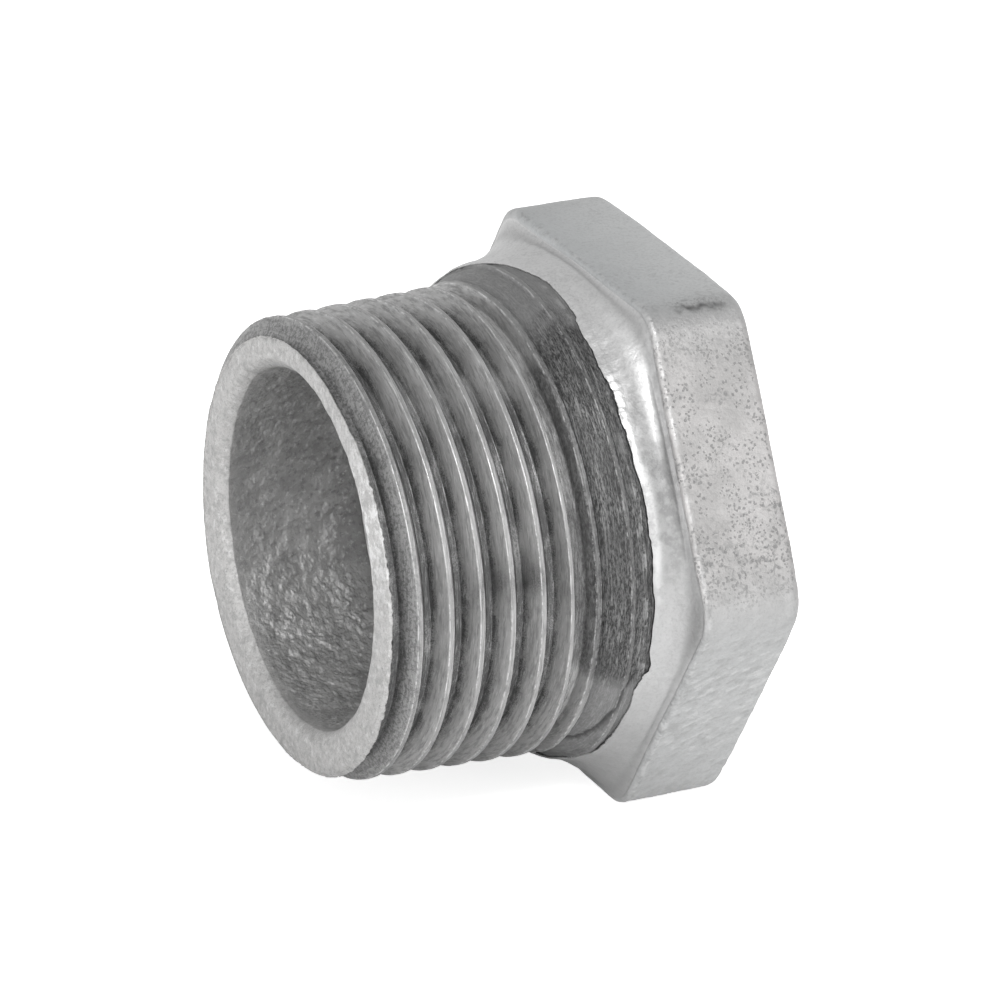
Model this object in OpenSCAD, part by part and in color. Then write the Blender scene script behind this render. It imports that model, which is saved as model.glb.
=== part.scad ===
// Hexagon reducing bushing, 3/4 x 1/2, galvanised malleable iron.
//
// One casting with a male taper thread on the spigot and a female parallel
// thread that enters at the hexagon end, plus the two zinc films that the
// galvanising leaves on it: one over the hexagon and its fillet, one inside
// the cored bore. The threads are cut after galvanising and are bare iron.
//
// Frame: +X is the flow axis, from the hexagon end to the male thread's nose.
// The origin is the centre of the hexagon's end face. +Z points up through a
// wrench flat, so the bushing lies on one of its flats.
// Each piece is built along a local +Z and turned onto +X at the end, so a
// name ending in _x is a distance from the hexagon end face.

/* [Hexagon head] */
// Width across the wrench flats
hex_af = 30; // [29:0.5:32]
// Length of the hexagon along the flow axis
head_len = 6; // [5:0.5:7]
// Radius of the cast corners between the flats
hex_corner_r = 2.3; // [1:0.1:3]

/* [Spigot] */
// Overall length from the hexagon end face to the nose
overall_len = 22.8; // [22:0.1:26]
// Radius where the round fillet meets the plane of the hexagon
fillet_r_head = 14.9; // [14.5:0.05:14.95]
// Radius of the fillet at the edge where the thread cutting stopped
fillet_r_edge = 14.35; // [14:0.05:14.5]
// Distance of that edge from the hexagon end face
fillet_edge_x = 8; // [7:0.1:8.5]
// Length of the chamfer on the nose
nose_chamfer = 0.7; // [0.3:0.05:1]

/* [Male thread, R 3/4] */
// Threads per inch
male_tpi = 14; // [14]
// Major diameter at the gauge plane
male_major_d = 26.441; // [26.3:0.001:26.6]
// Distance of the gauge plane from the nose
gauge_len = 8; // [7.7:0.1:11.3]
// Distance from the hexagon end face at which the full thread ends
male_full_x = 12.2; // [11.5:0.1:13]
// Turn of the thread about the flow axis
male_phase = 0; // [0:5:355]

/* [Female thread, Rp 1/2] */
// Threads per inch
female_tpi = 14; // [14]
// Minor diameter: the crests are truncated, as in a cored and tapped casting
female_minor_d = 19.17; // [18.6:0.01:19.17]
// Depth of the threaded wall from the hexagon end face
female_len = 13.6; // [13:0.1:15]
// Largest diameter of the entry chamfer
female_entry_d = 21.9; // [21.2:0.1:22.5]
// Turn of the thread about the flow axis
female_phase = 0; // [0:5:355]

/* [Cored bore] */
// Diameter of the as-cast bore at the nose
bore_d_nose = 20.3; // [19.6:0.1:20.8]
// Diameter of the as-cast bore at its inner end
bore_d_inner = 19.9; // [19.4:0.1:20.2]

/* [Zinc coat] */
// Thickness of the zinc film
zinc_t = 0.1; // [0.07:0.01:0.15]

/* [Hidden] */

iron = [0.40, 0.40, 0.41];
zinc = [0.70, 0.71, 0.72];

THREAD_SEG = 40;                // facets in one turn of a thread
CORNER_SEG = 10;                // facets round one corner of the hexagon
TURNED_FN = 160;
FILLET_FN = 128;
CLIP_FN = 64;
clearance = 1;                  // how far cutters pass an end face
lap = 0.01;                     // overlap of the entry chamfer cutter
bore_lap = 0.4;                 // overlap of the threaded wall into the bore

// Form shared by both threads
tan_flank = tan(27.5);          // 55 degree thread form
male_pitch = 25.4 / male_tpi;
female_pitch = 25.4 / female_tpi;
function thread_depth(pitch) = 0.640327 * pitch;
male_depth = thread_depth(male_pitch);
thread_overrun = 1.1;           // how far the helices pass the end faces
groove_overcut = 0.09;          // how far a groove cutter's mouth clears the surface
fade_gap = 0.05;                // how far its root clears the surface once faded out

// Spigot
core_start_x = 1;               // start of the turned core inside the head
core_inset_r = 0.6;             // core radius below the fillet edge
core_inset_x = 0.4;             // core shoulder before the fillet edge
run_out_x = 11.2;               // the run-out leaves the crest cone here
run_out_end_x = 9;
run_out_end_r = fillet_r_edge - 0.22;
edge_foot_r = fillet_r_edge - 0.12;    // turned surface below the fillet edge
nose_chamfer_lift = 0.02;       // shortfall of the chamfer's radial drop from its length

// The crest cone, taper 1 in 16 on diameter
gauge_x = overall_len - gauge_len;
function crest_r(x) = male_major_d / 2 + (gauge_x - x) / 32;

// Radius of the finished surface the male thread is cut into
function surface_r(x) =
    x > run_out_x ? crest_r(x)
    : x > run_out_end_x ? crest_r(run_out_x)
        + (run_out_end_r - crest_r(run_out_x)) * (run_out_x - x) / (run_out_x - run_out_end_x)
    : run_out_end_r;

// Cored bore and its film
minor_r = female_minor_d / 2;
bore_r_inner = bore_d_inner / 2;
bore_r_nose = bore_d_nose / 2;
bore_start_x = female_len + (bore_r_inner - minor_r);
iron_bevel = 0.3;               // bevel of the iron at the bore's mouth
film_bevel = 0.34;              // bevel of the film over it
film_ring_r = crest_r(overall_len) - male_depth - 0.12;    // outer edge of the zinc on the nose
film_seat_x = overall_len - zinc_t;

// Iron surface under the bore film: [radius, x]
bore_seat = [
    [bore_r_inner + zinc_t, bore_start_x],
    [bore_r_nose + zinc_t, film_seat_x - iron_bevel],
    [bore_r_nose + zinc_t + iron_bevel, film_seat_x]
];

// A rounded hexagon with flats square to the local X axis
module rounded_hex(apothem, corner_r) {
    corner_centre_r = (apothem - corner_r) / cos(30);
    polygon([for (k = [0:5], i = [0:CORNER_SEG])
        let (corner = 30 + 60 * k, angle = corner - 30 + 60 * i / CORNER_SEG)
        [corner_centre_r * cos(corner) + corner_r * cos(angle),
         corner_centre_r * sin(corner) + corner_r * sin(angle)]]);
}

// The head and fillet. The inset shrinks the hexagon all round and the
// fillet in radius only.
module head_solid(inset = 0) {
    union() {
        translate([0, 0, inset])
            linear_extrude(head_len - 2 * inset)
                rounded_hex(hex_af / 2 - inset, hex_corner_r - inset);
        translate([0, 0, head_len])
            cylinder(h = fillet_edge_x - head_len,
                r1 = fillet_r_head - inset, r2 = fillet_r_edge - inset, $fn = FILLET_FN);
    }
}

// The iron of the head, under its film
module head_iron() {
    intersection() {
        head_solid(zinc_t);
        translate([0, 0, zinc_t]) cylinder(h = overall_len, r = hex_af, $fn = CLIP_FN);
    }
}

// A helical groove cutter with a trapezium section, narrow at the root.
// start_x is the middle of the groove at angle 0, first and last are facet
// counts from there, and inner_r and outer_r are functions of x.
module helix(pitch, start_x, first, last, inner_r, outer_r, root_inside) {
    count = last - first;
    root_half = pitch / 12;
    points = [for (i = [first:last])
        let (angle = 360 * i / THREAD_SEG,
             x = start_x + pitch * i / THREAD_SEG,
             inner = inner_r(x),
             outer = outer_r(x),
             mouth_half = root_half + (outer - inner) * tan_flank,
             inner_half = root_inside ? root_half : mouth_half,
             outer_half = root_inside ? mouth_half : root_half)
        each [for (corner = [[inner, -inner_half], [outer, -outer_half],
                             [outer, outer_half], [inner, inner_half]])
            [corner[0] * cos(angle), corner[0] * sin(angle), x + corner[1]]]];
    sides = [for (i = [0:count - 1], k = [0:3])
        let (here = 4 * i + k, next = 4 * i + (k + 1) % 4)
        each [[here, next, next + 4], [here, next + 4, here + 4]]];
    end = 4 * count;
    polyhedron(
        points = points,
        faces = concat([[3, 2, 1, 0]], sides, [[end, end + 1, end + 2, end + 3]]),
        convexity = 12);
}

function clamp_unit(value) = max(0, min(1, value));

// Male groove: full depth from the nose to male_full_x, then it fades out
male_fade_end_x = male_full_x - 3.2;
male_start_x = 1.663 - male_pitch * male_phase / 360;
function male_fade(x) =
    clamp_unit((x - male_fade_end_x) / (male_full_x - male_fade_end_x));

module male_groove() {
    helix(
        pitch = male_pitch,
        start_x = male_start_x,
        first = ceil((male_fade_end_x - male_start_x) / male_pitch * THREAD_SEG),
        last = floor((overall_len + thread_overrun - male_start_x) / male_pitch * THREAD_SEG),
        inner_r = function (x)
            surface_r(x) + fade_gap - (male_depth + fade_gap) * male_fade(x),
        outer_r = function (x) surface_r(x) + groove_overcut,
        root_inside = true);
}

// Female groove: the same form turned inside out, fading at its inner end
female_end_x = female_len - 0.6;
female_fade_len = 1.8;
female_start_x = 0.4 - female_pitch * female_phase / 360;
female_full_minor_d = 18.631;   // minor diameter before the crests are truncated
female_major_r = female_full_minor_d / 2 + thread_depth(female_pitch);
function female_fade(x) = clamp_unit((female_end_x - x) / female_fade_len);

module female_groove() {
    helix(
        pitch = female_pitch,
        start_x = female_start_x,
        first = floor((-thread_overrun - female_start_x) / female_pitch * THREAD_SEG),
        last = floor((female_end_x - female_start_x) / female_pitch * THREAD_SEG),
        inner_r = function (x) minor_r - groove_overcut,
        outer_r = function (x)
            minor_r - fade_gap + (female_major_r - minor_r + fade_gap) * female_fade(x),
        root_inside = false);
}

// The outside of the casting before threading
module blank() {
    union() {
        head_iron();
        rotate_extrude($fn = TURNED_FN)
            polygon([
                [0, core_start_x],
                [fillet_r_edge - core_inset_r, core_start_x],
                [fillet_r_edge - core_inset_r, fillet_edge_x - core_inset_x],
                [edge_foot_r, fillet_edge_x],
                [run_out_end_r, run_out_end_x],
                [crest_r(run_out_x), run_out_x],
                [crest_r(overall_len - nose_chamfer), overall_len - nose_chamfer],
                [crest_r(overall_len) - nose_chamfer + nose_chamfer_lift, overall_len],
                [film_ring_r, overall_len],
                [film_ring_r, film_seat_x],
                [0, film_seat_x]]);
    }
}

// The way through: threaded wall, entry chamfer, cast shoulder and cored bore
module passage() {
    entry_r = female_entry_d / 2;
    union() {
        translate([0, 0, -clearance])
            cylinder(h = female_len + clearance + bore_lap, r = minor_r, $fn = TURNED_FN);
        translate([0, 0, -lap])
            cylinder(h = (entry_r - minor_r) + lap, r1 = entry_r + lap, r2 = minor_r,
                $fn = TURNED_FN);
        rotate_extrude($fn = TURNED_FN)
            polygon([
                [0, female_len],
                [minor_r, female_len],
                each bore_seat,
                [bore_r_nose + zinc_t + iron_bevel, overall_len + clearance],
                [0, overall_len + clearance]]);
    }
}

module bushing_casting() {
    color(iron) rotate([0, 90, 0]) difference() {
        blank();
        passage();
        male_groove();
        female_groove();
    }
}

module zinc_coat_head() {
    color(zinc) rotate([0, 90, 0]) difference() {
        head_solid();
        head_iron();
        translate([0, 0, -clearance])
            cylinder(h = overall_len, r = female_entry_d / 2, $fn = TURNED_FN);
    }
}

// The film in the bore and the flat ring it forms on the nose
module zinc_coat_bore() {
    color(zinc) rotate([0, 90, 0]) rotate_extrude($fn = TURNED_FN)
        polygon([
            each bore_seat,
            [film_ring_r, film_seat_x],
            [film_ring_r, overall_len],
            [bore_r_nose + film_bevel, overall_len],
            [bore_r_nose, overall_len - film_bevel],
            [bore_r_inner, bore_start_x + zinc_t]]);
}

bushing_casting();
zinc_coat_head();
zinc_coat_bore();
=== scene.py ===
import itertools
import math

import bpy
import numpy as np
from mathutils import Matrix, Vector


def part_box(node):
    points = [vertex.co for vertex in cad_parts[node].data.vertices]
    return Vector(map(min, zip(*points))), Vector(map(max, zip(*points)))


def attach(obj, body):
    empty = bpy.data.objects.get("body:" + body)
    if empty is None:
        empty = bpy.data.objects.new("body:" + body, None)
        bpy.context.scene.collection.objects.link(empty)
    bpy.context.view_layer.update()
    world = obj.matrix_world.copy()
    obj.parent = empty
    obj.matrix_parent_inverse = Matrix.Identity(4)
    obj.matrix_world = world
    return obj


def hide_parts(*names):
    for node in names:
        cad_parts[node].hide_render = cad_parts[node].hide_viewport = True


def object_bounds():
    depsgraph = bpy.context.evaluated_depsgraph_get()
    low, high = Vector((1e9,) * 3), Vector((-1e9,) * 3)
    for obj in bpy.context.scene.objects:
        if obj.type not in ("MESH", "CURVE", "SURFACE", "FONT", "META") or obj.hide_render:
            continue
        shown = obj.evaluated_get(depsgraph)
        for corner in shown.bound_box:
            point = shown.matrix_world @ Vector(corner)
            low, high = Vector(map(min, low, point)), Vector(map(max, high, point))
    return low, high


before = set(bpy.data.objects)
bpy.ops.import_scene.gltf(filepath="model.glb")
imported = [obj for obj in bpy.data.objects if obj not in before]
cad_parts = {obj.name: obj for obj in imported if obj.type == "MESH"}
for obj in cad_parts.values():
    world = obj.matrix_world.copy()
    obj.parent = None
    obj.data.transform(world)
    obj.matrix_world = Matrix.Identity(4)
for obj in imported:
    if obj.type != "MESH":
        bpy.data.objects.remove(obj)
cad_lo, cad_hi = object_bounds()

# ---------------------------------------------------------------- dimensions
LENGTH = cad_hi.x * 1000
HALF_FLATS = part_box("zinc_coat_head")[1].z * 1000  # half the width across the flats
HEAD_LENGTH = 6.0
HEAD_Z = LENGTH - HEAD_LENGTH
HEX_CORNER = 2.3  # rounding of the hexagon's corners
NOSE_RADIUS = 12.3
PITCH = 25.4 / 14
THREAD_DEPTH = 0.640327 * PITCH
FLANK_SLOPE = 1.9209
THREAD_ROUND = 0.03  # softens where flank and root meet
FEMALE_RADIUS, FEMALE_MAJOR = 9.585, 10.4775
FEMALE_LENGTH = 13.6
ENTRY_RADIUS = 10.95  # mouth of the chamfer at the hexagon end
BORE_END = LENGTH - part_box("zinc_coat_bore")[0].x * 1000  # how far in the cored bore reaches
BORE_RADIUS = 9.98

RING_POINTS = 1080
ANG = np.arange(RING_POINTS) * 360.0 / RING_POINTS - 180.0
TURN = np.radians(ANG)
SIN, COS = np.sin(TURN), np.cos(TURN)


# --------------------------------------------------------------------- noise
def cell_value(ix, iy, iz, seed):
    """A fixed pseudo-random value in [-1, 1] for each lattice point."""
    bits = (ix * 374761393 + iy * 668265263 + iz * 1442695041 + seed * 974634777) & 0xFFFFFFFF
    bits = ((bits ^ (bits >> 13)) * 1274126177) & 0xFFFFFFFF
    bits = ((bits ^ (bits >> 15)) * 2246822519) & 0xFFFFFFFF
    return ((bits ^ (bits >> 16)) & 0xFFFFF) / float(0xFFFFF) * 2 - 1


def noise(x, y, z, seed):
    """Smooth noise in [-1, 1] at coordinates in cells."""
    points = np.broadcast_arrays(x, y, z)
    cells = [np.floor(v).astype(np.int64) for v in points]
    parts = [v - cell for v, cell in zip(points, cells)]
    parts = [f * f * f * (f * (f * 6 - 15) + 10) for f in parts]
    total = 0
    for steps in itertools.product((0, 1), repeat=3):
        wx, wy, wz = (f if i else 1 - f for f, i in zip(parts, steps))
        ix, iy, iz = (cell + i for cell, i in zip(cells, steps))
        total = total + wx * wy * wz * cell_value(ix, iy, iz, seed)
    return total


def fbm(x, y, z, seed, octaves=3, gain=0.5):
    """Layered noise; each octave is about twice as fine and gain times as strong."""
    total, weight, weights = 0, 1.0, 0.0
    for k in range(octaves):
        f = 2.03**k
        layer = noise(x * f + 11.3 * k, y * f - 7.1 * k, z * f + 3.7 * k, seed + k)
        total = total + weight * layer
        weights += weight
        weight *= gain
    return total / weights


def ring_noise(z, radius, freq, seed, octaves=3, gain=0.5, stretch=1.0):
    """Noise on the surface at every ANG; stretch > 1 draws it out round the axis."""
    f = freq / stretch
    return fbm(z * freq, radius * SIN * f, radius * COS * f, seed, octaves, gain)


# ------------------------------------------------------------- shaping tools
def step(low, high, value):
    """Smooth step from 0 at low to 1 at high."""
    t = np.clip((value - low) / (high - low), 0, 1)
    return t * t * (3 - 2 * t)


def window(value, rise, full, fall, end):
    """0, rising to 1 between rise and full, back to 0 between fall and end."""
    return step(rise, full, value) * (1 - step(fall, end, value))


def bell(offset, width, power=2):
    return np.exp(-((offset / width) ** power))


def off_angle(angle):
    """Degrees from angle to each ANG, in [-180, 180)."""
    return (ANG - angle + 180) % 360 - 180


def patch(angle, width, power=2):
    """A bell round the axis, centred on an angle."""
    return bell(off_angle(angle), width, power)


def smin(first, second, soft):
    """Minimum with a rounded changeover."""
    h = np.clip(0.5 + 0.5 * (second - first) / soft, 0, 1)
    return second + (first - second) * h - soft * h * (1 - h)


def smax(first, second, soft):
    return -smin(-first, -second, soft)


def around(table):
    """A closed table of (angle, value), smoothed and read at every ANG."""
    angles, values = np.array(sorted(table), float).T
    angles = np.concatenate([angles - 360, angles, angles + 360])
    fine = np.arange(-200, 201, 0.5)
    values = np.interp(fine, angles, np.tile(values, 3))
    kernel = np.exp(-0.5 * (np.arange(-8, 9) / 2.2) ** 2)
    values = np.convolve(np.pad(values, 8, mode="edge"), kernel / kernel.sum(), "valid")
    return np.interp(ANG, fine, values)


def rings(values):
    """One ring of equal values for each entry."""
    return np.repeat(np.asarray(values)[:, None], RING_POINTS, 1)


def stack_rows(rows):
    """Turn a list of (radius, z) rings into two arrays."""
    return [np.stack([np.broadcast_to(v, (RING_POINTS,)) for v in column]) for column in zip(*rows)]


# ------------------------------------------------- outside: blank and groove
# (angle, z) where the thread's run-out starts to rise
RUN_Z = around([
    (-180, 12.8), (-140, 12.4), (-90, 11.7), (-50, 11.35), (-27, 11.3), (10, 11.25),
    (45, 11.3), (85, 11.42), (110, 11.75), (130, 12.3), (153, 12.85),
])


def zinc_edge():
    """z of the torn edge where the head's zinc starts."""
    base = around([  # (angle, z)
        (-170, 13.7), (-140, 14.0), (-110, 13.9), (-85, 13.5), (-60, 13.25), (-40, 12.95),
        (-27, 13.05), (-18.5, 13.59), (-6, 14.2), (3, 14.59), (12, 14.65), (16, 14.66),
        (19, 14.65), (24, 14.42), (35, 14.44), (40, 14.53), (47, 14.52), (52, 14.58),
        (58, 14.63), (62, 14.75), (68, 14.81), (73, 14.82), (80, 14.88), (87, 14.97),
        (93, 14.99), (99, 14.97), (104, 15.05), (107, 14.91), (110, 14.6), (117, 14.50),
        (122, 14.45), (132, 14.37), (141, 14.09), (160, 13.9),
    ])
    ragged = 0.12 * fbm(COS * 9, SIN * 9, 0.0, seed=51, gain=0.6)
    amount = np.clip(0.7 + 1.2 * fbm(COS * 6, SIN * 6, 0.0, seed=57, octaves=2), 0.15, 1.6)
    ragged = ragged + 0.12 * fbm(COS * 46, SIN * 46, 0.0, seed=55, gain=0.7) * amount
    jogs = -0.14 * window(ANG, 18.4, 19.4, 22, 30)
    jogs = jogs + 0.12 * window(ANG, 99, 103, 105.2, 106.2)
    jogs = jogs - 0.10 * window(ANG, 105.4, 106.6, 110, 118)
    return base + ragged + jogs


def crest_cone(z):
    return 12.97 + z / 32


def collar_radius(z):
    """The cast surface next to the hexagon, before the zinc."""
    return 14.12 + 0.11 * (z - 13.0)


def runout_radius(z):
    return 13.3 + 0.55 * (z - RUN_Z)


def runout_place(z):
    """z moved so that the run-out starts at 11.9 at every angle."""
    return z - RUN_Z + 11.9


def envelope(z):
    """The outside before the groove is cut."""
    radius = smax(crest_cone(z), smin(runout_radius(z), collar_radius(z), 0.12), 0.06)
    return smin(radius, NOSE_RADIUS + np.maximum(z, 0) * 1.0, 0.08)


def flank_rise(phase):
    """Height above the root at a phase counted in pitches, roots at whole numbers."""
    offset = (phase - np.round(phase)) * PITCH
    flank = np.maximum(np.abs(offset) - PITCH / 12, 0)
    return FLANK_SLOPE * (np.sqrt(flank * flank + THREAD_ROUND**2) - THREAD_ROUND)


def thread(z):
    """Radius the groove leaves, and its depth as a share of the full depth."""
    place = runout_place(z)
    drifted = z + 0.12 * np.exp(-np.maximum(z, 0) / 1.6) + 0.50 * step(10.5, 12.3, place)
    phase = (drifted - 1.18 - PITCH * ANG / 360) / PITCH + 0.5
    share = np.interp(place, [10.2, 11.2, 12.2, 13.0, 13.8, 14.6, 15.3],
                      [1, 0.80, 0.46, 0.24, 0.12, 0.06, 0.0])
    root = np.where(z < 9, crest_cone(z), envelope(z)) - THREAD_DEPTH
    radius = smax(root + flank_rise(phase), root + THREAD_DEPTH * (1 - share), 0.03)
    return np.where(share <= 0.001, 99.0, radius), share  # 99 lies clear of the blank


ZINC_Z = zinc_edge()
ZINC_FOOT = np.minimum(collar_radius(ZINC_Z), runout_radius(ZINC_Z))  # iron radius at that edge


# ------------------------------------------------------------ hexagon and collar
def hex_outline():
    """Radius of the rounded hexagon, flats at 0, 60, ... degrees."""
    from_flat = np.abs((ANG + 30) % 60 - 30)
    inner = HALF_FLATS - HEX_CORNER
    centre = inner / math.cos(math.radians(30))
    tangent = math.degrees(math.atan2(inner * math.tan(math.radians(30)), HALF_FLATS))
    flat = HALF_FLATS / np.cos(np.radians(from_flat))
    swing = np.radians(30 - from_flat)
    half_chord = np.sqrt(np.maximum(HEX_CORNER * HEX_CORNER - (centre * np.sin(swing)) ** 2, 0))
    return np.where(from_flat <= tangent, flat, centre * np.cos(swing) + half_chord)


HEX = hex_outline()
# roundings of the hexagon's edges, towards the nose and at the end face
FRONT_ROUND = 0.30 + 0.08 * ring_noise(0.0, 15.0, freq=0.25, seed=71, octaves=2)
FRONT_ROUND = FRONT_ROUND + 0.30 * patch(-30, 16)
END_ROUND = 0.50 + 0.22 * np.clip((HEX - 15.6) / 1.3, 0, 1)
# how strongly the zinc stands in bands on the collar, and where along it the second band lies
BAND = around([(-180, 0.4), (-60, 0.3), (0, 0.45), (30, 0.9), (60, 1.0), (85, 0.8), (110, 0.4),
               (150, 0.2)])
BAND_PLACE = np.interp(ANG, [-180, 10, 30, 45, 62, 180], [0.52, 0.52, 0.64, 0.73, 0.66, 0.60])
# how high the torn edge of the film stands over the cut iron
STAND = around([(-180, 0.5), (-100, 0.4), (-30, 0.25), (10, 0.15), (26, 0.25), (42, 0.9),
                (70, 1.1), (100, 1.0), (112, 0.5), (150, 0.4)])
# exponent of the flare from collar to hexagon
FLARE_POWER = around([(-180, 1.8), (-150, 2.6), (-90, 2.6), (-60, 2.2), (-30, 3.0), (0, 1.6),
                      (30, 2.1), (60, 1.3), (90, 2.5), (120, 1.5), (150, 2.2)])


def head_profile(n_flare, n_flat, n_end, inset=0.0):
    """Rings over the flare, the flats and the end face, moved inwards by inset.

    Returns radius, z, the outward normal's two parts, and per ring its kind and its
    place (0 to 1) within that kind.
    """
    rows, kinds, places = [], [], []

    def add(radius, z, kind, place):
        rows.append((radius, z))
        kinds.append(kind)
        places.append(place)

    z_front = HEAD_Z + inset * 0.6 - 0.24 * patch(172, 24)
    foot = ZINC_FOOT + 0.10
    top = HEX - FRONT_ROUND
    cornered = np.clip((HEX - 15.3) / 1.5, 0, 1)
    z_flare = np.maximum(ZINC_Z + 0.05, 14.1)
    for t in np.linspace(0, 1, n_flare):
        z = ZINC_Z + (z_front - ZINC_Z) * t
        rise = np.clip((z - z_flare) / (z_front - z_flare), 0, 1) ** FLARE_POWER
        start = foot + 0.12 * (z - ZINC_Z)
        radius = np.minimum(start, top) + np.maximum(top - start, 0) * rise
        radius = radius - 0.09 * np.clip(1 - STAND, 0, 1) * np.exp(-(z - ZINC_Z) / 0.30)
        radius = radius + 0.06 * bell(t - 0.14, 0.11) * BAND
        radius = radius + 0.08 * bell(t - BAND_PLACE, 0.13) * BAND
        radius = radius - 0.10 * bell(t - 0.89, 0.07) * (0.4 + 0.6 * BAND) * (1 - 0.6 * cornered)
        add(radius, z, "collar", t)
    quarter = np.linspace(0, 1, 9)[1:]
    for t in quarter:
        swing = t * math.pi / 2
        add(top + FRONT_ROUND * math.sin(swing),
            z_front + FRONT_ROUND * (1 - math.cos(swing)), "edge", t)
    flat_start = z_front + FRONT_ROUND
    flat_end = LENGTH - END_ROUND
    for t in np.linspace(0, 1, n_flat)[1:]:
        add(HEX, flat_start + (flat_end - flat_start) * t, "flat", t)
    for t in quarter:
        swing = t * math.pi / 2
        add(HEX - END_ROUND * (1 - math.cos(swing)),
            flat_end + END_ROUND * math.sin(swing), "edge", t)
    rim = HEX - END_ROUND
    for t in np.linspace(0, 1, n_end)[1:]:
        add(rim + (ENTRY_RADIUS + 0.02 - rim) * t, LENGTH, "end", t)

    radius, z = stack_rows(rows)
    dr, dz = np.gradient(radius, axis=0), np.gradient(z, axis=0)
    size = np.hypot(dr, dz) + 1e-9
    out_r, out_z = dz / size, -dr / size
    kinds, places = np.array(kinds)[:, None], np.array(places)[:, None]
    return radius - inset * out_r, z - inset * out_z, out_r, out_z, kinds, places


def head_relief(radius, z, kind, place):
    """How far the zinc stands out of the head's profile, with the crease, halo and rip masks."""
    flats = (kind == "flat") | (kind == "edge")
    collar = kind == "collar"
    relief = 0.035 * ring_noise(z, radius, freq=0.33, seed=81)
    relief = relief + 0.016 * ring_noise(z, radius, freq=1.6, seed=84)
    # ripples, strongest round the flat at 120 degrees
    lower = patch(118, 34, power=4)
    y, height = radius * SIN, radius * COS
    broad = fbm(z * 1.5 + height * 1.2, y * 1.5, z * 0.6 - height * 0.8, seed=91, gain=0.6)
    across = -0.5 * y - 0.866 * height
    ripple = fbm((0.5 * z + 0.85 * across) * 3.8, (0.85 * z - 0.5 * across) * 1.8, 0.0,
                 seed=93, octaves=4, gain=0.66)
    ripple = ripple * (0.55 + 0.45 * fbm(z * 0.35, across * 0.35, 0.0, seed=94, octaves=2))
    rippled = 0.030 * broad * (0.30 + 0.70 * lower) + 0.065 * ripple * lower
    relief = relief + np.where(flats, rippled, 0)
    # the bead that the zinc leaves along the hexagon's edge towards the nose
    bead = bell(z - (HEAD_Z + 0.22), 0.20) * (radius > 14.9)
    facing = 0.5 + 0.5 * np.cos(np.radians(off_angle(62)))
    lump = 0.55 + 0.9 * ring_noise(z * 0.4, radius, freq=1.5, seed=95, octaves=2)
    relief = relief + bead * (0.01 + 0.04 * facing) * np.clip(lump, 0, 1.4)
    # ragged lip at the torn edge
    ragged = 0.01 + 0.05 * ring_noise(z, radius, freq=2.6, seed=97, octaves=2)
    relief = relief + bell(place, 0.05) * collar * ragged * STAND
    relief = relief + np.where(collar, 0.03 * ring_noise(z, radius, freq=0.9, seed=99), 0)
    relief = np.clip(relief, -0.07, 0.16)
    # a crease across the hexagon's edge near 30 degrees, with a halo beside it
    along = z - HEAD_Z
    slant = 0.28 * (along - 1.5)
    halo = patch(27.6 + slant, 2.6) * window(along, 1.0, 2.4, 4.4, 5.6)
    crease = patch(28.6 + slant + 0.6 * noise(z * 2.6, 0, 0, seed=5), 0.75)
    crease = crease * np.clip(0.75 + 0.9 * ring_noise(z, radius, freq=2.2, seed=7), 0, 1.2)
    crease = crease * window(along, 1.6, 2.4, 4.6, 5.2) * flats
    masks = {
        "crease": crease,
        "halo": halo * flats,
        "rip": np.clip(0.5 + 1.3 * ripple, 0, 1) * lower * flats,
    }
    return relief - 0.045 * crease, masks


def head_film():
    """The zinc over the head: the rough outside, then its smooth inside face."""
    radius, z, out_r, out_z, kind, place = head_profile(n_flare=56, n_flat=76, n_end=34)
    relief, relief_masks = head_relief(radius, z, kind, place)
    radius = radius + out_r * relief
    z = np.minimum(z + out_z * relief, LENGTH)
    back_r, back_z = head_profile(n_flare=13, n_flat=14, n_end=8, inset=0.11)[:2]

    flats = (kind == "flat") | (kind == "edge")
    collar = kind == "collar"
    side = patch(60, 27.5, power=8) * flats
    near_91 = patch(91, 13)
    # painted highlight bands on the collar, the first near the torn edge, the second at BAND_PLACE
    highlight_band = bell(place - 0.11, 0.14) * window(ANG, 33, 39, 74, 96)
    highlight_band = highlight_band + 0.8 * bell(place - BAND_PLACE, 0.12) * window(ANG, 12, 26, 46, 60)
    # painted shade: the collar darker towards its underside
    shade = 0.40 * step(60, 82, ANG) + 0.60 * step(88, 150, ANG)
    masks = {
        "right": side,
        "top": patch(0, 30, power=8) * flats,
        "low": patch(120, 30, power=8) * flats,
        "collar": collar,
        "highlight_band": highlight_band * collar,
        "valley": bell(place - 0.88, 0.08 + 0.06 * near_91) * (0.7 + 0.7 * near_91) * collar,
        "shade": shade * (1 - step(165, 178, ANG)) * np.ones_like(radius),
        **relief_masks,
        "dirt": side * (1.4 * patch(83, 8) + 0.9 * patch(35, 4.5)),
        "depth_x": np.clip((z - HEAD_Z) / HEAD_LENGTH, 0, 1),
        "gleam": patch(58, 27, power=4) * collar,
        "fedge": bell(z - (HEAD_Z + 0.22), 0.16) * (radius > 14.9),
    }
    radius = np.concatenate([radius, back_r[::-1]])
    z = np.concatenate([z, np.minimum(back_z[::-1], LENGTH - 0.10)])
    return radius, z, masks


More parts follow.
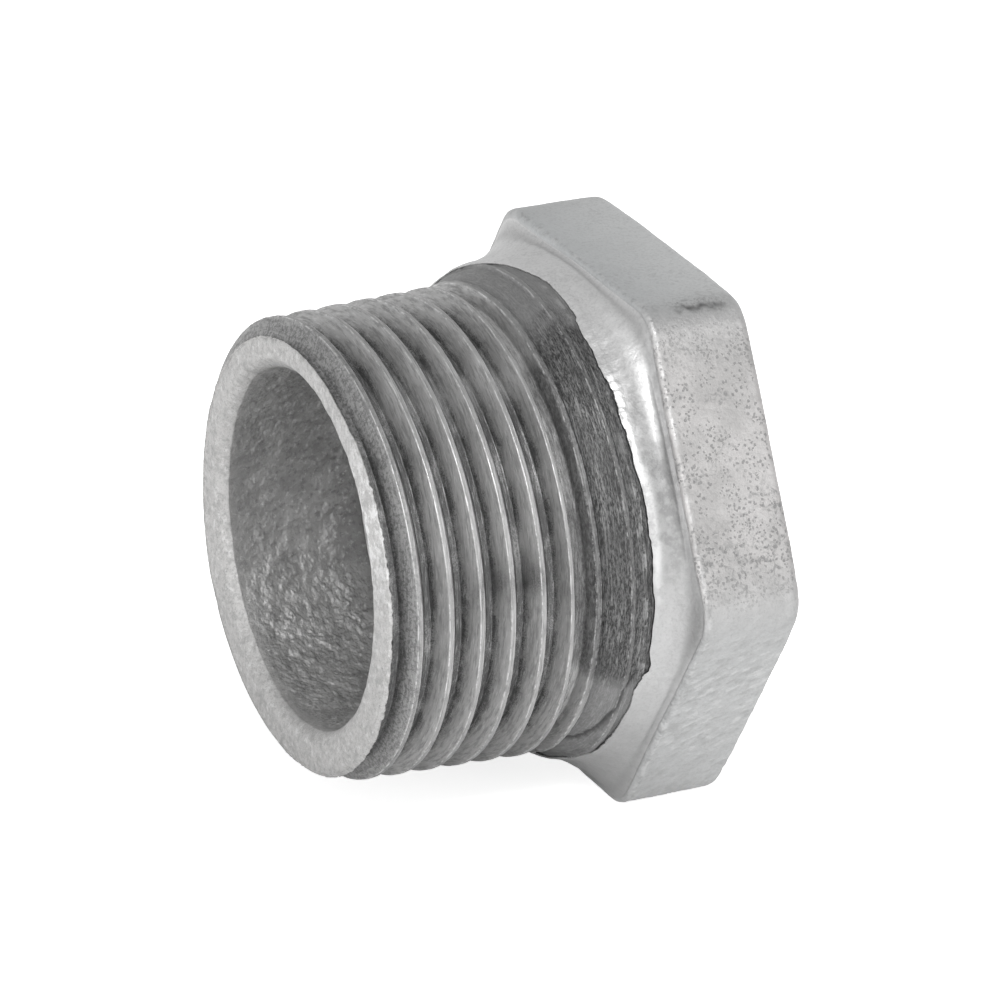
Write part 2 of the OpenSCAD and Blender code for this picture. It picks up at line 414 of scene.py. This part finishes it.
# ------------------------------------------------------------------ nose rim
def nose_rim():
    """Outer rim of the uncut zinc on the nose: radius and z by angle."""
    z = np.interp(ANG, [-180, -150, -120, 30, 45, 90, 137, 180],
                  [0.34, 0.2, 0.0, 0.0, 0.02, 0.14, 0.27, 0.34])
    ragged = 0.04 * ring_noise(0.0, NOSE_RADIUS, freq=1.6, seed=103)
    ragged = ragged + 0.05 * ring_noise(0.0, NOSE_RADIUS, freq=4.5, seed=104, octaves=2, gain=0.6)
    groove, _ = thread(np.zeros(RING_POINTS))
    radius = np.where(z > 0.01, NOSE_RADIUS + z, np.clip(groove - 0.02, 12.0, NOSE_RADIUS))
    smooth = around([(a, np.interp(a, ANG, radius)) for a in range(-178, 180, 4)])
    return smooth + ragged, np.maximum(z + ragged * (z > 0.03), 0)


RIM_RADIUS, RIM_Z = nose_rim()


# --------------------------------------------------------------- the casting
def outer_thread():
    """The iron's outside from the nose to under the zinc, with its masks."""
    z = rings(np.concatenate([np.arange(0.10, 11.2, 0.029), np.arange(11.2, 14.2, 0.036),
                              np.arange(14.2, 15.45, 0.045)]))
    blank = envelope(z)
    groove, share = thread(z)
    depth = blank - groove  # negative on crests
    threaded = share > 0.02
    corner = bell(depth, 0.036) * threaded
    land = step(-0.02, -0.14, depth) * threaded * (z > 0.8)
    run = step(0.04, 0.20, blank - crest_cone(z)) * step(10.4, 11.2, z)
    run = np.maximum(run, 0.8 * step(10.9, 12.0, runout_place(z)) * window(ANG, 20, 30, 104, 110))
    last = step(9.0, 10.4, z) * (1 - run)

    # a fine burr on the crests' corners
    burr = np.clip(0.6 + 0.8 * ring_noise(z * 0.3, 13.0, freq=1.1, seed=21), 0.1, 1.5)
    radius = smin(blank, groove, 0.035) + 0.017 * corner * burr * (1 - 0.7 * run)
    # tool lines round the axis, mottled casting on the first thread, torn metal on the run-out
    lines = ring_noise(z, radius, freq=10.0, seed=31, octaves=2, gain=0.6, stretch=14)
    radius = radius + 0.006 * lines * (1 - 0.5 * land)
    radius = radius + 0.006 * ring_noise(z, radius, freq=2.2, seed=33)
    first = 1 - step(0.9, 1.9, z - PITCH * off_angle(60) / 360)
    radius = radius + 0.014 * first * ring_noise(z, radius, freq=3.2, seed=35)
    tear = 0.026 * ring_noise(z, radius, freq=5.0, seed=37, gain=0.6, stretch=12)
    tear = tear + 0.018 * ring_noise(z, radius, freq=2.0, seed=39, stretch=2.5)
    radius = radius + run * tear
    # the dark ledge just before the torn zinc edge
    amount = np.clip(0.45 + 0.8 * ring_noise(0.0, 14.0, freq=0.8, seed=41), 0, 1)
    amount = amount * (0.25 + 0.75 * window(ANG, 28, 45, 100, 108))
    ledge = bell(z - (ZINC_Z - 0.16), 0.09) * amount
    radius = radius - 0.07 * ledge
    # a slanting groove from the zinc edge near 106 degrees
    slant = (ZINC_Z - 0.45) - 0.020 * off_angle(106)
    notch = bell(z - slant, 0.13) * window(ANG, 103, 108, 150, 162)
    radius = radius - 0.10 * notch
    # torn chips on the run-out
    chip = np.clip(ring_noise(z, radius, freq=1.7, seed=43, stretch=3) - 0.15, 0, 1)
    radius = radius - 0.05 * chip * run
    # sink below the head's zinc, and below the uncut zinc on the nose
    cover = step(-0.02, 0.05, z - ZINC_Z)
    radius = radius + (np.minimum(radius, ZINC_FOOT - 0.06) - radius) * cover
    nose = (1 - step(-0.03, 0.03, z - (RIM_Z + 0.02))) * (RIM_Z > 0.02)
    radius = radius - 0.13 * nose

    uncut = (blank <= groove) & (z < 0.85)
    calm_end = ANG + 7 * ring_noise(z, 13.5, freq=0.9, seed=45)
    calm = window(ANG, 105, 112, 165, 178) + step(-70, -60, ANG) * (1 - step(12, 25, calm_end))
    smudge = np.clip(0.45 + 1.7 * ring_noise(z * 1.2, radius, freq=0.42, seed=47), 0, 1)
    # painted highlight on the flanks near 26 degrees, broken up by noise
    painted_sheen = np.clip(0.7 + 1.1 * ring_noise(z * 2.0, radius, freq=0.5, seed=49), 0, 1)
    plain = step(1.5, 3.0, z) * (1 - run)
    near_edge = run * step(-0.35, -0.1, z - ZINC_Z)
    masks = {
        "smudge": patch(80.2, 6.5) * smudge * plain,
        "painted_sheen": patch(25.8, 8.0) * painted_sheen * plain,
        "calm": calm * run,
        "cut": np.clip(depth / THREAD_DEPTH, 0, 1),  # 0 on a crest, 1 in a root
        "corner": corner * (1 - 0.35 * run) * (1 - 0.9 * near_edge),
        "run": run,
        "first": first,
        "land": land * np.clip(last + 0.6 * run * (z < ZINC_Z - 0.3), 0, 1),
        "zn": uncut * (1 - nose),
        # painted shade in the ledge, the slanting groove and the step beside the nose rim
        "dark": np.clip(ledge * 0.9 + notch + 0.8 * bell(z - RIM_Z - 0.10, 0.14) * (1 - uncut),
                        0, 1),
    }
    return radius, z, masks


def female_thread():
    """Entry chamfer and female thread, from the hexagon end inwards, with the cut mask."""
    depth = rings(np.concatenate([
        np.linspace(0.12, 1.4, 24), np.arange(1.44, FEMALE_LENGTH, 0.05), [FEMALE_LENGTH]]))
    wall = np.maximum(FEMALE_RADIUS, ENTRY_RADIUS - depth)
    phase = (depth - 0.4 - PITCH * (180 - ANG) / 360) / PITCH
    fade = np.clip((FEMALE_LENGTH - 0.6 - depth) / 1.8, 0, 1)
    groove_depth = FEMALE_MAJOR - FEMALE_RADIUS
    groove = FEMALE_RADIUS + groove_depth * fade - flank_rise(phase)
    radius = smax(wall, groove, 0.035)
    cut = np.clip((radius - FEMALE_RADIUS) / groove_depth, 0, 1)
    lines = ring_noise(depth, radius, freq=9.0, seed=61, octaves=2, gain=0.6, stretch=30)
    radius = radius + 0.006 * lines + 0.006 * ring_noise(depth, radius, freq=2.0, seed=63)
    return radius, LENGTH - depth, cut


def casting():
    """The iron: outside, inside the head under the zinc, female thread, wall behind the bore."""
    outer_r, outer_z, masks = outer_thread()
    head_r, head_z = head_profile(n_flare=14, n_flat=40, n_end=16, inset=0.16)[:2]
    keep = head_z[:, 0] > 15.5
    head_r, head_z = head_r[keep], np.minimum(head_z, LENGTH - 0.12)[keep]
    female_r, female_z, female_cut = female_thread()
    wall_z = np.concatenate([
        [BORE_END, BORE_END - 0.35], np.arange(BORE_END - 0.9, 0.7, -0.8), [0.45, 0.2, 0.10]])
    wall_r = [10.02, 10.22] + [10.28] * (len(wall_z) - 5) + [10.4, 10.7, 11.0]
    masks["cut"] = np.concatenate([masks["cut"], np.zeros_like(head_r), female_cut])
    radius = np.concatenate([outer_r, head_r, female_r, rings(wall_r)])
    z = np.concatenate([outer_z, head_z, female_z, rings(wall_z)])
    return radius, z, masks


# ------------------------------------------------------- zinc on nose and bore
def lip_radius():
    """Radius where the nose face turns over into the bore."""
    return (10.06 + 0.24 * np.cos(2 * TURN) + 0.14 * COS - 0.30 * patch(56, 46)
            + 0.06 * ring_noise(0.0, 10.0, freq=0.45, seed=111, octaves=2))


def bore_film():
    """Zinc from the nose's rim over the face and down the cored bore, then its back."""
    lip = lip_radius()
    n_face, n_bore = 46, 190
    # side of the rim, then the chamfer down to the face
    rows = [(RIM_RADIUS - 0.17, RIM_Z + 0.10), (RIM_RADIUS - 0.03, RIM_Z + 0.06)]
    for t in np.linspace(0, 1, 9):
        z = RIM_Z * (1 - t)
        rows.append((RIM_RADIUS - (RIM_Z - z) + 0.012 * math.sin(math.pi * t), z))
    face_start = len(rows)
    face_radius = RIM_RADIUS - RIM_Z
    for t in np.linspace(0, 1, n_face)[1:]:
        # crowned face, rounding over into the bore at the end
        z = 0.09 * (2 * t - 0.75) ** 2 + 0.50 * np.clip((t - 0.60) / 0.40, 0, 1) ** 2.2
        rows.append((face_radius - (face_radius - lip) * t, z + 0.05 * bell(t, 0.08) - 0.03))
    lip_z = rows[-1][1]
    for t in np.linspace(0, 1, n_bore)[1:]:
        z = lip_z + (BORE_END - 0.03 - lip_z) * t
        rows.append((BORE_RADIUS + (lip - BORE_RADIUS) * np.exp(-(z - lip_z) / 1.3), z))
    radius, z = stack_rows(rows)

    row = np.arange(len(rows))[:, None]
    face_end = face_start + n_face
    fade = np.clip((row - 3) / 8.0, 0, 1)
    in_bore = step(face_end - 10, face_end + 14, row)
    lumpy = step(face_end - 3, face_end + 34, row)
    dents = 0.045 * ring_noise(z, radius, freq=1.1, seed=121)
    dents = dents + 0.026 * ring_noise(z, radius, freq=3.6, seed=123, gain=0.6)
    z = z - dents * fade * (1 - in_bore)
    rough = 0.5 + 0.5 * ring_noise(z, radius, freq=0.22, seed=131, octaves=2) + 0.12
    rough = step(0.1, 0.5, rough) * (1 - 0.85 * patch(-95, 26) * bell(z - 4.2, 2.6))
    amount = 0.20 + 0.80 * rough
    lumps = 0.17 * ring_noise(z, radius, freq=0.55, seed=133, gain=0.55) * (0.45 + 0.55 * rough)
    lumps = lumps + 0.15 * ring_noise(z, radius, freq=1.5, seed=137, octaves=4, gain=0.6) * amount
    lumps = lumps + 0.05 * ring_noise(z, radius, freq=3.4, seed=139, gain=0.6) * amount
    end = 1 - step(BORE_END - 0.9, BORE_END - 0.1, z)
    radius = radius + np.clip(lumps, -0.25, 0.19) * lumpy * (0.25 + 0.75 * end)
    z = np.maximum(z, 0.0)
    masks = {
        "face": 1 - in_bore,
        "rough": rough,
        "deep": step(0.3, 5.0, z) * in_bore,
        # painted highlight on the nose face around 58 degrees
        "pale": (1 - in_bore) * patch(58, 22),
    }

    back = [(10.235 if place < BORE_END - 0.2 else 10.05, place)
            for place in np.linspace(BORE_END - 0.03, 0.62, 16)]
    for t in np.linspace(0, 1, 8):
        back.append((10.5 + (RIM_RADIUS - 0.17 - 10.5) * t, 0.34 - 0.24 * t))
    back_r, back_z = stack_rows(back)
    return np.concatenate([radius, back_r]), np.concatenate([z, back_z]), masks


# ------------------------------------------------------------- shader helpers
class Value:
    """A shader socket; +, - and * add a math node."""

    def __init__(self, tree, socket):
        self.tree = tree
        self.socket = socket

    def __add__(self, other):
        return combine("ADD", self, other)

    def __sub__(self, other):
        return combine("SUBTRACT", self, other)

    def __rsub__(self, other):
        return combine("SUBTRACT", other, self)

    def __mul__(self, other):
        return combine("MULTIPLY", self, other)

    def maximum(self, other):
        return combine("MAXIMUM", self, other)

    def ramp(self, over, to=(0.0, 1.0)):
        """Smooth step from to[0] to to[1] as the value crosses the range over."""
        return add_node(self.tree, "ShaderNodeMapRange", "Result", {
            "Value": self, "From Min": over[0], "From Max": over[1],
            "To Min": to[0], "To Max": to[1],
        }, interpolation_type="SMOOTHSTEP")


def feed(tree, target, value):
    """Link a Value to an input, or set the input to a plain value."""
    if isinstance(value, Value):
        tree.links.new(value.socket, target)
    else:
        target.default_value = value


def add_node(tree, kind, output, inputs, **settings):
    """Add a node and return one of its outputs."""
    node = tree.nodes.new(kind)
    for key, value in settings.items():
        setattr(node, key, value)
    for key, value in inputs.items():
        feed(tree, node.inputs[key], value)
    return Value(tree, node.outputs[output])


def combine(operation, first, second, clamp=False):
    tree = first.tree if isinstance(first, Value) else second.tree
    return add_node(tree, "ShaderNodeMath", 0, {0: first, 1: second, 2: 0.0},
                    operation=operation, use_clamp=clamp)


def mix(factor, under, over):
    """Colour going from under to over as factor goes from 0 to 1."""
    # A colour mix node takes its factor at input 0 and its colours at 6 and 7.
    return add_node(factor.tree, "ShaderNodeMix", 2, {0: factor, 6: under, 7: over},
                    data_type="RGBA")


def grey(level, warm=0.0):
    return (level * (1 + warm), level, level * (1 - warm), 1.0)


class Look:
    """A procedural material; texture scales are in cells per millimetre."""

    def __init__(self, name):
        self.material = bpy.data.materials.new(name)
        self.material.use_nodes = True
        self.tree = self.material.node_tree
        self.coord = add_node(self.tree, "ShaderNodeTexCoord", "Object", {})

    def mapped(self, scale, shift, stretch=1.0):
        """Object coordinates in cells; stretch draws them out across the axis."""
        across = scale / stretch * 1000
        return add_node(self.tree, "ShaderNodeMapping", "Vector", {
            "Scale": (scale * 1000, across, across),
            "Location": (shift, shift * 0.7, shift * 1.3),
            "Vector": self.coord,
        })

    def noise(self, scale, detail=3, rough=0.5, shift=0.0, stretch=1.0, distortion=0.0):
        return add_node(self.tree, "ShaderNodeTexNoise", "Fac", {
            "Vector": self.mapped(scale, shift, stretch), "Scale": 1.0, "Detail": detail,
            "Roughness": rough, "Distortion": distortion,
        })

    def voronoi(self, scale, shift):
        return add_node(self.tree, "ShaderNodeTexVoronoi", "Distance", {
            "Vector": self.mapped(scale, shift), "Scale": 1.0, "Randomness": 1.0,
        })

    def mask(self, name):
        return add_node(self.tree, "ShaderNodeAttribute", "Fac", {}, attribute_name=name)

    def surface(self, inputs):
        shader = self.tree.nodes.get("Principled BSDF")
        for key, value in inputs.items():
            feed(self.tree, shader.inputs[key], value)

    def finish(self, color, rough, metallic, height, relief):
        """Set the surface, with bumps of relief millimetres from height."""
        normal = add_node(self.tree, "ShaderNodeBump", "Normal", {
            "Strength": 0.6, "Distance": relief * 0.001, "Height": height,
        })
        self.surface({"Base Color": color, "Roughness": rough, "Metallic": metallic,
                      "Normal": normal})
        return self.material


# ------------------------------------------------------------------ materials
def iron_material():
    look = Look("bare_iron_look")
    cut, corner, run = look.mask("cut"), look.mask("corner"), look.mask("run")
    lines = look.noise(scale=12.0, detail=4, rough=0.7, stretch=16)
    fine_lines = look.noise(scale=24.0, rough=0.7, shift=4.0, stretch=22)
    grit = look.noise(scale=18.0, rough=0.7, shift=14.0, stretch=1.6)
    blotch = look.noise(scale=0.55, detail=6, rough=0.68, shift=7.0, stretch=1.4)
    mottle = look.noise(scale=5.0, detail=4, rough=0.7, shift=2.0)
    fine = look.noise(scale=14.0, detail=4, rough=0.72, shift=9.0, stretch=4)
    # root and flank tones: painted shade darkening the thread roots, mixed with dirt
    root_shade_and_dirt = cut + (blotch - 0.5) * 1.2
    root_shade_and_dirt = root_shade_and_dirt + (grit - 0.5) * 0.9
    base = mix(root_shade_and_dirt.ramp(over=(0.60, 1.02)), grey(0.475, warm=0.004), grey(0.115))
    base = mix(blotch.ramp(over=(0.57, 0.66), to=(0.0, 0.35)), base, grey(0.24))
    base = mix(lines.ramp(over=(0.36, 0.56), to=(0.50, 0.0)), base, grey(0.17))
    base = mix(fine_lines.ramp(over=(0.52, 0.68), to=(0.0, 0.42)), base, grey(0.74))
    smudge = look.mask("smudge") * grit.ramp(over=(0.36, 0.62), to=(0.75, 0.35))
    base = mix(smudge, base, grey(0.13))
    # painted highlight: a pale sheen on the flanks near 26 degrees
    painted_sheen = look.mask("painted_sheen") * lines.ramp(over=(0.38, 0.58), to=(0.12, 0.50))
    base = mix(painted_sheen, base, grey(0.82))
    # the first thread keeps mottled skin
    mottled = look.mask("first") * mottle.ramp(over=(0.46, 0.58))
    base = mix(look.mask("first") * 0.38, base, grey(0.16))
    base = mix(mottled * 0.60, base, grey(0.10))
    # the run-out: torn, dark, streaked
    torn = mix(fine.ramp(over=(0.38, 0.66)), grey(0.05), grey(0.21))
    torn = mix(lines.ramp(over=(0.52, 0.66), to=(0.0, 0.50)), torn, grey(0.42))
    torn = mix(blotch.ramp(over=(0.45, 0.62), to=(0.0, 0.4)), torn, grey(0.10))
    torn = mix(look.mask("calm") * 0.55, torn, grey(0.42))
    base = mix(run, base, torn)
    base = mix(look.mask("land") * 0.40, base, grey(0.42, warm=0.003))
    # painted shade: near black in the ledge before the zinc edge, in the slanting groove and beside
    # the nose rim
    base = mix(look.mask("dark") * 0.75, base, grey(0.05))
    # bright, broken crest corners, partly worn bright metal and partly painted highlight, and the
    # uncut zinc
    worn = look.noise(scale=1.4, detail=5, rough=0.72, shift=3.0)
    edge = corner * worn.ramp(over=(0.45, 0.57), to=(0.06, 0.82))
    base = mix(edge, base, grey(0.90))
    base = mix(look.mask("zn"), base, grey(0.44, warm=0.01))
    rough = lines.ramp(over=(0.3, 0.7), to=(0.54, 0.40)) + run * 0.12
    rough = rough - edge * 0.08
    height = lines * 1.0 + fine_lines * 0.7
    height = height + fine * run * 1.3
    return look.finish(base, rough, metallic=0.90, height=height, relief=0.024)


def zinc_head_material():
    look = Look("zinc_coat_look")
    cloud = look.noise(scale=0.35, detail=4, rough=0.6, shift=1.0)
    fine_cloud = look.noise(scale=1.1, detail=4, rough=0.6, shift=5.0)
    grain = look.noise(scale=7.0, rough=0.6, shift=8.0)
    side, top, low = look.mask("right"), look.mask("top"), look.mask("low")
    base = mix(cloud.ramp(over=(0.35, 0.65)), grey(0.47), grey(0.56))
    base = mix(fine_cloud.ramp(over=(0.45, 0.75), to=(0.0, 0.35)), base, grey(0.38))
    # the collar, pale on top with painted shade towards its underside, and painted shade in the
    # gaps between its highlight bands
    gap = look.mask("gleam") * combine("SUBTRACT", 1.0, look.mask("highlight_band"), clamp=True)
    shaded = mix(look.mask("shade"), grey(0.80), grey(0.40))
    base = mix(look.mask("collar") * 0.7, base, shaded)
    patchy = look.noise(scale=1.6, detail=4, rough=0.6, shift=44.0)
    patchy = mix(patchy.ramp(over=(0.40, 0.60)), grey(0.27), grey(0.40))
    base = mix(gap * 0.85, base, patchy)
    # the flats at 0, 60 and 120 degrees, each given its own tone: lit and shaded copies of the same
    # zinc, which is painted light and shade; the top flat paler towards the end face
    paler = mix(look.mask("depth_x"), (0.585, 0.602, 0.608, 1.0), (0.77, 0.78, 0.78, 1.0))
    base = mix(top * 0.8, base, paler)
    warm = look.noise(scale=0.32, detail=4, rough=0.6, shift=33.0).ramp(over=(0.36, 0.62))
    warm = mix(warm, (0.49, 0.480, 0.475, 1.0), (0.62, 0.605, 0.60, 1.0))
    base = mix(side * 0.85, base, warm)
    base = mix(low * 0.6, base, (0.545, 0.553, 0.555, 1.0))
    # the skin's own mottling, and on the 120 degree flat painted shade in the ripples' hollows and
    # painted highlight on their ridges
    skin = look.noise(scale=5.5, detail=5, rough=0.72, shift=71.0)
    base = mix(skin.ramp(over=(0.34, 0.54), to=(0.22, 0.0)), base, grey(0.30))
    base = mix(grain.ramp(over=(0.54, 0.70), to=(0.0, 0.16)), base, grey(0.76))
    ripple = look.noise(scale=2.3, detail=5, rough=0.66, shift=51.0, distortion=0.8)
    hollow = look.mask("rip").ramp(over=(0.10, 0.50), to=(0.38, 0.0))
    base = mix(low * hollow, base, grey(0.34))
    ridge = look.mask("rip").ramp(over=(0.55, 0.90), to=(0.0, 0.45))
    base = mix(low * ridge, base, grey(0.72))
    # pits and blotches, thickest on the 60 degree flat
    wobble = (look.noise(scale=6.5, rough=0.6, shift=77.0) - 0.5) * 0.9
    pit = (look.voronoi(scale=3.5, shift=2.0) + wobble).ramp(over=(0.24, 0.34), to=(1.0, 0.0))
    area = look.noise(scale=0.45, shift=6.0).ramp(over=(0.42, 0.52))
    pit = pit * look.mask("dirt").maximum(area)
    small = (look.voronoi(scale=5.2, shift=12.0) + wobble).ramp(over=(0.22, 0.34), to=(1.0, 0.0))
    small = small * look.noise(scale=0.8, shift=16.0).ramp(over=(0.50, 0.60))
    area = look.noise(scale=0.2, detail=2, shift=61.0).ramp(over=(0.55, 0.70), to=(0.0, 0.25))
    pits = pit.maximum(small) * side.maximum(area)
    base = mix(pits * 0.66, base, grey(0.26))
    worm = look.noise(scale=2.0, detail=5, rough=0.7, shift=21.0, distortion=1.1)
    worm = worm.ramp(over=(0.50, 0.62))
    area = look.noise(scale=0.30, shift=25.0).ramp(over=(0.46, 0.60)).maximum(look.mask("dirt"))
    blot = worm * area * side.maximum(0.25)
    base = mix(combine("MULTIPLY", blot, 0.72, clamp=True), base, grey(0.29))
    # the crease, darkened with painted shade, and its halo
    broken = look.noise(scale=5.0, detail=4, rough=0.7, shift=81.0)
    broken = broken.ramp(over=(0.48, 0.62), to=(0.0, 0.60))
    base = mix(look.mask("halo") * broken, base, grey(0.27))
    base = mix(look.mask("crease") * 0.8, base, grey(0.15))
    # painted highlight bands and painted shade in the valley on the collar
    cloudy = fine_cloud.ramp(over=(0.38, 0.56), to=(0.10, 0.85))
    base = mix(combine("MULTIPLY", look.mask("highlight_band"), cloudy, clamp=True), base, grey(0.88))
    # painted shade in the collar's valley by the hexagon
    valley = combine("MULTIPLY", look.mask("valley"), 0.58, clamp=True)
    base = mix(valley, base, grey(0.31))
    # dark flecks, then pale flecks that paint highlights on the bead, along the hexagon's edge
    # towards the nose
    fleck = look.noise(scale=2.4, rough=0.6, shift=36.0).ramp(over=(0.52, 0.60), to=(0.0, 0.35))
    base = mix(look.mask("fedge") * fleck, base, grey(0.26))
    fleck = look.noise(scale=1.8, rough=0.6, shift=31.0).ramp(over=(0.48, 0.60), to=(0.0, 0.45))
    base = mix(look.mask("fedge") * fleck, base, grey(0.70))
    rough = grain.ramp(over=(0.3, 0.7), to=(0.46, 0.58)) - look.mask("highlight_band") * 0.16
    rough = rough + gap * 0.10
    height = grain * 0.6 + look.noise(scale=2.4, detail=4, rough=0.6, shift=41.0) * 1.6
    height = height - pits * 1.0
    height = height + ripple * (low + 0.15) * 2.2
    return look.finish(base, rough, metallic=0.80, height=height, relief=0.050)


def zinc_bore_material():
    look = Look("zinc_cast_bore_look")
    cloud = look.noise(scale=0.5, detail=4, rough=0.6, shift=3.0)
    grain = look.noise(scale=6.0, detail=4, rough=0.65, shift=6.0)
    spots = look.noise(scale=2.6, detail=4, rough=0.65, shift=13.0)

    def speckle(base, level, over, to, **texture):
        return mix(look.noise(**texture).ramp(over=over, to=to), base, grey(level))

    bore = mix(cloud.ramp(over=(0.35, 0.65)), grey(0.35, warm=0.006), grey(0.45, warm=0.006))
    bore = mix(spots.ramp(over=(0.50, 0.66), to=(0.0, 0.45)), bore, grey(0.18))
    bore = speckle(bore, level=0.78, over=(0.54, 0.68), to=(0.0, 0.45),
                   scale=3.6, detail=5, rough=0.7, shift=23.0)
    face = mix(spots.ramp(over=(0.42, 0.66)), grey(0.56, warm=0.010), grey(0.44, warm=0.008))
    face = speckle(face, level=0.26, over=(0.52, 0.66), to=(0.0, 0.55),
                   scale=9.0, detail=4, rough=0.7, shift=17.0)
    face = speckle(face, level=0.30, over=(0.52, 0.66), to=(0.0, 0.35),
                   scale=0.9, detail=6, rough=0.7, shift=19.0)
    face = speckle(face, level=0.82, over=(0.53, 0.64), to=(0.0, 0.40),
                   scale=2.2, detail=5, rough=0.75, shift=29.0)
    # painted highlight: pale flecks on the nose face around 58 degrees
    pale = look.noise(scale=1.6, detail=5, rough=0.7, shift=39.0)
    pale = look.mask("pale") * pale.ramp(over=(0.45, 0.60), to=(0.15, 0.9))
    face = mix(pale, face, grey(0.86))
    base = mix(look.mask("face"), bore, face)
    rough = grain.ramp(over=(0.3, 0.7), to=(0.50, 0.64))
    height = grain * 0.8 + spots * 1.2
    return look.finish(base, rough, metallic=0.80, height=height, relief=0.065)


# ------------------------------------------------------------------- meshing
def build(name, shape, material, node):
    """Close rings of points into a tube; masks become attributes, 0 on the rings they lack."""
    radius, z, masks = shape
    points = np.stack([LENGTH - z, radius * SIN, radius * COS], -1)
    points = (points.reshape(-1, 3) * 0.001).astype(np.float32)
    index = np.arange(radius.size).reshape(radius.shape)
    beside = np.roll(index, -1, 1)
    quads = np.stack([index, beside, np.roll(beside, -1, 0), np.roll(index, -1, 0)], -1)
    quads = quads.reshape(-1, 4)
    # turn the faces outwards where the enclosed volume comes out negative
    p0, p1, p2, p3 = (points[quads[:, k]].astype(float) for k in range(4))
    if np.einsum("ij,ij->i", p0, np.cross(p1 - p3, p2)).sum() < 0:
        quads = quads[:, ::-1]
    mesh = bpy.data.meshes.new(name)
    mesh.vertices.add(len(points))
    mesh.vertices.foreach_set("co", points.ravel())
    mesh.loops.add(quads.size)
    corners = np.ascontiguousarray(quads).ravel().astype(np.int32)
    mesh.loops.foreach_set("vertex_index", corners)
    mesh.polygons.add(len(quads))
    mesh.polygons.foreach_set("loop_start", np.arange(0, quads.size, 4, dtype=np.int32))
    mesh.polygons.foreach_set("use_smooth", np.ones(len(quads), bool))
    mesh.update(calc_edges=True)
    for key, mask in masks.items():
        values = np.zeros(radius.shape, np.float32)
        values[:len(mask)] = mask
        mesh.attributes.new(key, "FLOAT", "POINT").data.foreach_set("value", values.ravel())
    piece = bpy.data.objects.new(name, mesh)
    bpy.context.scene.collection.objects.link(piece)
    mesh.materials.append(material)
    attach(piece, "root")
    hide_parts(node)


iron = iron_material()
head_zinc = zinc_head_material()
bore_zinc = zinc_bore_material()
build("bushing_iron", casting(), iron, "bushing_casting")
build("bushing_zinc_head", head_film(), head_zinc, "zinc_coat_head")
build("bushing_zinc_bore", bore_film(), bore_zinc, "zinc_coat_bore")


# ---------------------------------------------------------------------- stage
def floor_material():
    """Near white to the camera; to the metal a pale grey that glows as fill light, with a painted
    shadow that dims the glow close to the part.
    """
    look = Look("floor_look")
    seen = add_node(look.tree, "ShaderNodeLightPath", "Is Camera Ray", {})
    distance = add_node(look.tree, "ShaderNodeVectorMath", "Value",
                        {0: look.coord, 1: (0.014, -0.006, 0.0)}, operation="DISTANCE")
    # painted shadow: the floor's glow on the metal fades close to the part
    shadowed_glow = distance.ramp(over=(0.010, 0.030), to=(0.10, 1.0)) * 0.48
    look.surface({
        "Base Color": mix(seen, grey(0.72), grey(0.93)),
        "Roughness": 0.85,
        "Emission Color": grey(1.0),
        "Emission Strength": shadowed_glow + seen * (0.74 - shadowed_glow),
    })
    return look.material


bpy.ops.mesh.primitive_plane_add(size=4.0, location=(0, 0, cad_lo.z))
floor = bpy.context.active_object
floor.name = "floor"
floor.data.materials.append(floor_material())

# the world dims from the horizon upwards
scene = bpy.context.scene
world = bpy.data.worlds.new("studio")
scene.world = world
world.use_nodes = True
sky = world.node_tree
background = sky.nodes.get("Background").inputs
direction = add_node(sky, "ShaderNodeTexCoord", "Generated", {})
upward = add_node(sky, "ShaderNodeSeparateXYZ", "Z", {0: direction})
tone = add_node(sky, "ShaderNodeMapRange", "Result", {
    "From Min": 0.0, "From Max": 0.9, "To Min": 0.80, "To Max": 0.46, "Value": upward,
})
feed(sky, background["Color"], tone)
background["Strength"].default_value = 1.0
scene.view_settings.view_transform = "Standard"
scene.view_settings.look = "None"


def softbox(name, direction, size, watts, distance=0.45):
    """A round area light in the given direction from the part, aimed at its middle."""
    direction = Vector(direction).normalized()
    light = bpy.data.lights.new(name, "AREA")
    light.shape = "DISK"
    light.size = size
    light.energy = watts
    light.spread = math.radians(180)
    lamp = bpy.data.objects.new(name, light)
    lamp.location = (cad_lo + cad_hi) / 2 + direction * distance
    lamp.rotation_mode = "QUATERNION"
    lamp.rotation_quaternion = (-direction).to_track_quat("-Z", "Y")
    scene.collection.objects.link(lamp)


softbox("key", direction=(0.36, 0.58, 0.74), size=0.12, watts=0.80)
softbox("side", direction=(-0.45, 0.78, 0.30), size=0.26, watts=0.22)
softbox("front", direction=(0.90, 0.35, 0.25), size=0.22, watts=0.26)

# --------------------------------------------------------------------- camera
# Its place and its own axes, in the CAD frame.
CAMERA_PLACE = Vector((0.15937010843, 0.28779904055, 0.14795706342))
CAMERA_RIGHT = Vector((-0.8947887586, 0.4448772112, 0.0379123247))
CAMERA_UP = Vector((-0.1529951090, -0.3852741566, 0.9100309450))
CAMERA_BACK = Vector((0.4194586679, 0.8084850593, 0.4128030218))
lens = bpy.data.cameras.new("camera")
lens.sensor_fit = "HORIZONTAL"
lens.sensor_width = 36.0
lens.lens = 229.6
lens.clip_start = 0.01
lens.clip_end = 10.0
camera = bpy.data.objects.new("camera", lens)
pose = Matrix((CAMERA_RIGHT, CAMERA_UP, CAMERA_BACK)).transposed().to_4x4()
pose.translation = CAMERA_PLACE
camera.matrix_world = pose
scene.collection.objects.link(camera)
scene.camera = camera

bpy.context.view_layer.update()
